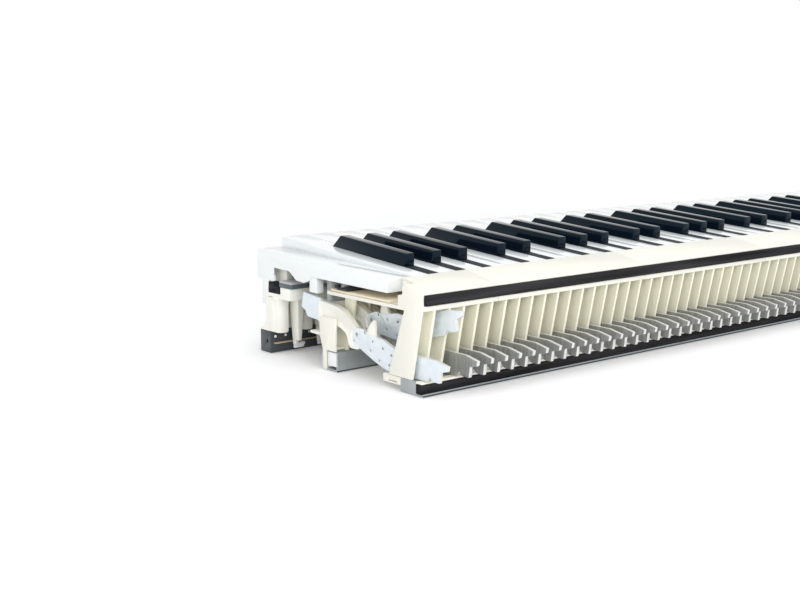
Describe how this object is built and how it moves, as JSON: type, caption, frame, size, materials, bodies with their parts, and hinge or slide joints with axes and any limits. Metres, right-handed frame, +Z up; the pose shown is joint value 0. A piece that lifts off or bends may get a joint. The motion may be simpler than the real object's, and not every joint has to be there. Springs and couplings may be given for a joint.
{
  "type": "digital piano keyboard action",
  "caption": "Weighted hammer-action keyboard of a digital piano, out of its cabinet: keys on a hinge shaft, weighted hammers below them, ribbed chassis, stop felts and sheet rails.",
  "frame": {"origin": "middle of the footprint, on the surface that the three rails stand on", "axes": "+X to the treble end, +Y from the player to the rear, +Z up"},
  "size_m": [1.224, 0.2306, 0.0963],
  "materials": {
    "ivory_moulding": "satin moulded",
    "white_key": "polished",
    "black_key": "polished",
    "hammer_steel": "zinc plated, in a dark moulded arm",
    "dark_steel": "dark coated",
    "zinc_steel": "zinc plated sheet",
    "black_felt": "pressed felt",
    "cream_felt": "soft felt",
    "grey_felt": "pressed felt",
    "circuit_board": "laminate",
    "contact_rubber": "matte"
  },
  "bodies": {
    "frame": {"chassis": "ivory_moulding", "front_guide_frame": "ivory_moulding", "front_rail": "dark_steel", "middle_rail": "zinc_steel", "rear_rail": "zinc_steel", "lower_stop_felt": "black_felt", "lower_cushion": "cream_felt", "upper_stop_felt": "black_felt", "key_stop_rail": "dark_steel", "key_stop_felt": "grey_felt", "sensor_board": "circuit_board", "contact_strip": "contact_rubber", "key_hinge_shaft": "zinc_steel", "hammer_shaft": "zinc_steel"},
    "keys_octave_1": {"white_keys_octave_1": "white_key", "black_keys_octave_1": "black_key"},
    "hammer_set_octave_1": {"hammers_octave_1": "hammer_steel"},
    "keys_octave_2": {"white_keys_octave_2": "white_key", "black_keys_octave_2": "black_key"},
    "hammer_set_octave_2": {"hammers_octave_2": "hammer_steel"},
    "keys_octave_3": {"white_keys_octave_3": "white_key", "black_keys_octave_3": "black_key"},
    "hammer_set_octave_3": {"hammers_octave_3": "hammer_steel"},
    "keys_octave_4": {"white_keys_octave_4": "white_key", "black_keys_octave_4": "black_key"},
    "hammer_set_octave_4": {"hammers_octave_4": "hammer_steel"},
    "keys_octave_5": {"white_keys_octave_5": "white_key", "black_keys_octave_5": "black_key"},
    "hammer_set_octave_5": {"hammers_octave_5": "hammer_steel"},
    "keys_octave_6": {"white_keys_octave_6": "white_key", "black_keys_octave_6": "black_key"},
    "hammer_set_octave_6": {"hammers_octave_6": "hammer_steel"},
    "key_c7": {"key_c7": "white_key"},
    "hammer_c7": {"hammer_c7": "hammer_steel"},
    "key_c_sharp7": {"key_c_sharp7": "black_key"},
    "hammer_c_sharp7": {"hammer_c_sharp7": "hammer_steel"},
    "key_d7": {"key_d7": "white_key"},
    "hammer_d7": {"hammer_d7": "hammer_steel"},
    "key_d_sharp7": {"key_d_sharp7": "black_key"},
    "hammer_d_sharp7": {"hammer_d_sharp7": "hammer_steel"},
    "key_e7": {"key_e7": "white_key"},
    "hammer_e7": {"hammer_e7": "hammer_steel"},
    "key_f7": {"key_f7": "white_key"},
    "hammer_f7": {"hammer_f7": "hammer_steel"},
    "key_f_sharp7": {"key_f_sharp7": "black_key"},
    "hammer_f_sharp7": {"hammer_f_sharp7": "hammer_steel"},
    "key_g7": {"key_g7": "white_key"},
    "hammer_g7": {"hammer_g7": "hammer_steel"},
    "key_g_sharp7": {"key_g_sharp7": "black_key"},
    "hammer_g_sharp7": {"hammer_g_sharp7": "hammer_steel"},
    "key_a7": {"key_a7": "white_key"},
    "hammer_a7": {"hammer_a7": "hammer_steel"},
    "key_a_sharp7": {"key_a_sharp7": "black_key"},
    "hammer_a_sharp7": {"hammer_a_sharp7": "hammer_steel"},
    "key_b7": {"key_b7": "white_key"},
    "hammer_b7": {"hammer_b7": "hammer_steel"},
    "key_c8": {"key_c8": "white_key"},
    "hammer_c8": {"hammer_c8": "hammer_steel"},
    "hammer_end": {"hammer_end": "hammer_steel"}
  },
  "joints": [
    {"name": "key_octave_1_press", "type": "hinge", "parent": "frame", "child": "keys_octave_1", "pos_m": [0, 0.06332, 0.072], "axis": [1, 0, 0], "range_deg": [0, 2.58]},
    {"name": "hammer_octave_1_throw", "type": "hinge", "parent": "frame", "child": "hammer_set_octave_1", "pos_m": [0, -0.02018, 0.036], "axis": [1, 0, 0], "range_deg": [0, 15.5]},
    {"name": "key_octave_2_press", "type": "hinge", "parent": "frame", "child": "keys_octave_2", "pos_m": [0, 0.06332, 0.072], "axis": [1, 0, 0], "range_deg": [0, 2.58]},
    {"name": "hammer_octave_2_throw", "type": "hinge", "parent": "frame", "child": "hammer_set_octave_2", "pos_m": [0, -0.02018, 0.036], "axis": [1, 0, 0], "range_deg": [0, 15.5]},
    {"name": "key_octave_3_press", "type": "hinge", "parent": "frame", "child": "keys_octave_3", "pos_m": [0, 0.06332, 0.072], "axis": [1, 0, 0], "range_deg": [0, 2.58]},
    {"name": "hammer_octave_3_throw", "type": "hinge", "parent": "frame", "child": "hammer_set_octave_3", "pos_m": [0, -0.02018, 0.036], "axis": [1, 0, 0], "range_deg": [0, 15.5]},
    {"name": "key_octave_4_press", "type": "hinge", "parent": "frame", "child": "keys_octave_4", "pos_m": [0, 0.06332, 0.072], "axis": [1, 0, 0], "range_deg": [0, 2.58]},
    {"name": "hammer_octave_4_throw", "type": "hinge", "parent": "frame", "child": "hammer_set_octave_4", "pos_m": [0, -0.02018, 0.036], "axis": [1, 0, 0], "range_deg": [0, 15.5]},
    {"name": "key_octave_5_press", "type": "hinge", "parent": "frame", "child": "keys_octave_5", "pos_m": [0, 0.06332, 0.072], "axis": [1, 0, 0], "range_deg": [0, 2.58]},
    {"name": "hammer_octave_5_throw", "type": "hinge", "parent": "frame", "child": "hammer_set_octave_5", "pos_m": [0, -0.02018, 0.036], "axis": [1, 0, 0], "range_deg": [0, 15.5]},
    {"name": "key_octave_6_press", "type": "hinge", "parent": "frame", "child": "keys_octave_6", "pos_m": [0, 0.06332, 0.072], "axis": [1, 0, 0], "range_deg": [0, 2.58]},
    {"name": "hammer_octave_6_throw", "type": "hinge", "parent": "frame", "child": "hammer_set_octave_6", "pos_m": [0, -0.02018, 0.036], "axis": [1, 0, 0], "range_deg": [0, 15.5]},
    {"name": "key_c7_press", "type": "hinge", "parent": "frame", "child": "key_c7", "pos_m": [0, 0.06332, 0.072], "axis": [1, 0, 0], "range_deg": [0, 2.58]},
    {"name": "hammer_c7_throw", "type": "hinge", "parent": "frame", "child": "hammer_c7", "pos_m": [0, -0.02018, 0.036], "axis": [1, 0, 0], "range_deg": [0, 15.5]},
    {"name": "key_c_sharp7_press", "type": "hinge", "parent": "frame", "child": "key_c_sharp7", "pos_m": [0, 0.06332, 0.072], "axis": [1, 0, 0], "range_deg": [0, 2.58]},
    {"name": "hammer_c_sharp7_throw", "type": "hinge", "parent": "frame", "child": "hammer_c_sharp7", "pos_m": [0, -0.02018, 0.036], "axis": [1, 0, 0], "range_deg": [0, 15.5]},
    {"name": "key_d7_press", "type": "hinge", "parent": "frame", "child": "key_d7", "pos_m": [0, 0.06332, 0.072], "axis": [1, 0, 0], "range_deg": [0, 2.58]},
    {"name": "hammer_d7_throw", "type": "hinge", "parent": "frame", "child": "hammer_d7", "pos_m": [0, -0.02018, 0.036], "axis": [1, 0, 0], "range_deg": [0, 15.5]},
    {"name": "key_d_sharp7_press", "type": "hinge", "parent": "frame", "child": "key_d_sharp7", "pos_m": [0, 0.06332, 0.072], "axis": [1, 0, 0], "range_deg": [0, 2.58]},
    {"name": "hammer_d_sharp7_throw", "type": "hinge", "parent": "frame", "child": "hammer_d_sharp7", "pos_m": [0, -0.02018, 0.036], "axis": [1, 0, 0], "range_deg": [0, 15.5]},
    {"name": "key_e7_press", "type": "hinge", "parent": "frame", "child": "key_e7", "pos_m": [0, 0.06332, 0.072], "axis": [1, 0, 0], "range_deg": [0, 2.58]},
    {"name": "hammer_e7_throw", "type": "hinge", "parent": "frame", "child": "hammer_e7", "pos_m": [0, -0.02018, 0.036], "axis": [1, 0, 0], "range_deg": [0, 15.5]},
    {"name": "key_f7_press", "type": "hinge", "parent": "frame", "child": "key_f7", "pos_m": [0, 0.06332, 0.072], "axis": [1, 0, 0], "range_deg": [0, 2.58]},
    {"name": "hammer_f7_throw", "type": "hinge", "parent": "frame", "child": "hammer_f7", "pos_m": [0, -0.02018, 0.036], "axis": [1, 0, 0], "range_deg": [0, 15.5]},
    {"name": "key_f_sharp7_press", "type": "hinge", "parent": "frame", "child": "key_f_sharp7", "pos_m": [0, 0.06332, 0.072], "axis": [1, 0, 0], "range_deg": [0, 2.58]},
    {"name": "hammer_f_sharp7_throw", "type": "hinge", "parent": "frame", "child": "hammer_f_sharp7", "pos_m": [0, -0.02018, 0.036], "axis": [1, 0, 0], "range_deg": [0, 15.5]},
    {"name": "key_g7_press", "type": "hinge", "parent": "frame", "child": "key_g7", "pos_m": [0, 0.06332, 0.072], "axis": [1, 0, 0], "range_deg": [0, 2.58]},
    {"name": "hammer_g7_throw", "type": "hinge", "parent": "frame", "child": "hammer_g7", "pos_m": [0, -0.02018, 0.036], "axis": [1, 0, 0], "range_deg": [0, 15.5]},
    {"name": "key_g_sharp7_press", "type": "hinge", "parent": "frame", "child": "key_g_sharp7", "pos_m": [0, 0.06332, 0.072], "axis": [1, 0, 0], "range_deg": [0, 2.58]},
    {"name": "hammer_g_sharp7_throw", "type": "hinge", "parent": "frame", "child": "hammer_g_sharp7", "pos_m": [0, -0.02018, 0.036], "axis": [1, 0, 0], "range_deg": [0, 15.5]},
    {"name": "key_a7_press", "type": "hinge", "parent": "frame", "child": "key_a7", "pos_m": [0, 0.06332, 0.072], "axis": [1, 0, 0], "range_deg": [0, 2.58]},
    {"name": "hammer_a7_throw", "type": "hinge", "parent": "frame", "child": "hammer_a7", "pos_m": [0, -0.02018, 0.036], "axis": [1, 0, 0], "range_deg": [0, 15.5]},
    {"name": "key_a_sharp7_press", "type": "hinge", "parent": "frame", "child": "key_a_sharp7", "pos_m": [0, 0.06332, 0.072], "axis": [1, 0, 0], "range_deg": [0, 2.58]},
    {"name": "hammer_a_sharp7_throw", "type": "hinge", "parent": "frame", "child": "hammer_a_sharp7", "pos_m": [0, -0.02018, 0.036], "axis": [1, 0, 0], "range_deg": [0, 15.5]},
    {"name": "key_b7_press", "type": "hinge", "parent": "frame", "child": "key_b7", "pos_m": [0, 0.06332, 0.072], "axis": [1, 0, 0], "range_deg": [0, 2.58]},
    {"name": "hammer_b7_throw", "type": "hinge", "parent": "frame", "child": "hammer_b7", "pos_m": [0, -0.02018, 0.036], "axis": [1, 0, 0], "range_deg": [0, 15.5]},
    {"name": "key_c8_press", "type": "hinge", "parent": "frame", "child": "key_c8", "pos_m": [0, 0.06332, 0.072], "axis": [1, 0, 0], "range_deg": [-2.58, 0]},
    {"name": "hammer_c8_throw", "type": "hinge", "parent": "frame", "child": "hammer_c8", "pos_m": [0, -0.02018, 0.036], "axis": [1, 0, 0], "range_deg": [-15.5, 0]},
    {"name": "hammer_end_throw", "type": "hinge", "parent": "frame", "child": "hammer_end", "pos_m": [0, -0.02018, 0.036], "axis": [1, 0, 0], "range_deg": [0, 15.5]}
  ],
  "couplings": [
    {"joint": "hammer_octave_1_throw", "follows": "key_octave_1_press", "ratio": 6},
    {"joint": "hammer_octave_2_throw", "follows": "key_octave_2_press", "ratio": 6},
    {"joint": "hammer_octave_3_throw", "follows": "key_octave_3_press", "ratio": 6},
    {"joint": "hammer_octave_4_throw", "follows": "key_octave_4_press", "ratio": 6},
    {"joint": "hammer_octave_5_throw", "follows": "key_octave_5_press", "ratio": 6},
    {"joint": "hammer_octave_6_throw", "follows": "key_octave_6_press", "ratio": 6},
    {"joint": "hammer_c7_throw", "follows": "key_c7_press", "ratio": 6},
    {"joint": "hammer_c_sharp7_throw", "follows": "key_c_sharp7_press", "ratio": 6},
    {"joint": "hammer_d7_throw", "follows": "key_d7_press", "ratio": 6},
    {"joint": "hammer_d_sharp7_throw", "follows": "key_d_sharp7_press", "ratio": 6},
    {"joint": "hammer_e7_throw", "follows": "key_e7_press", "ratio": 6},
    {"joint": "hammer_f7_throw", "follows": "key_f7_press", "ratio": 6},
    {"joint": "hammer_f_sharp7_throw", "follows": "key_f_sharp7_press", "ratio": 6},
    {"joint": "hammer_g7_throw", "follows": "key_g7_press", "ratio": 6},
    {"joint": "hammer_g_sharp7_throw", "follows": "key_g_sharp7_press", "ratio": 6},
    {"joint": "hammer_a7_throw", "follows": "key_a7_press", "ratio": 6},
    {"joint": "hammer_a_sharp7_throw", "follows": "key_a_sharp7_press", "ratio": 6},
    {"joint": "hammer_b7_throw", "follows": "key_b7_press", "ratio": 6},
    {"joint": "hammer_c8_throw", "follows": "key_c8_press", "ratio": 6}
  ]
}
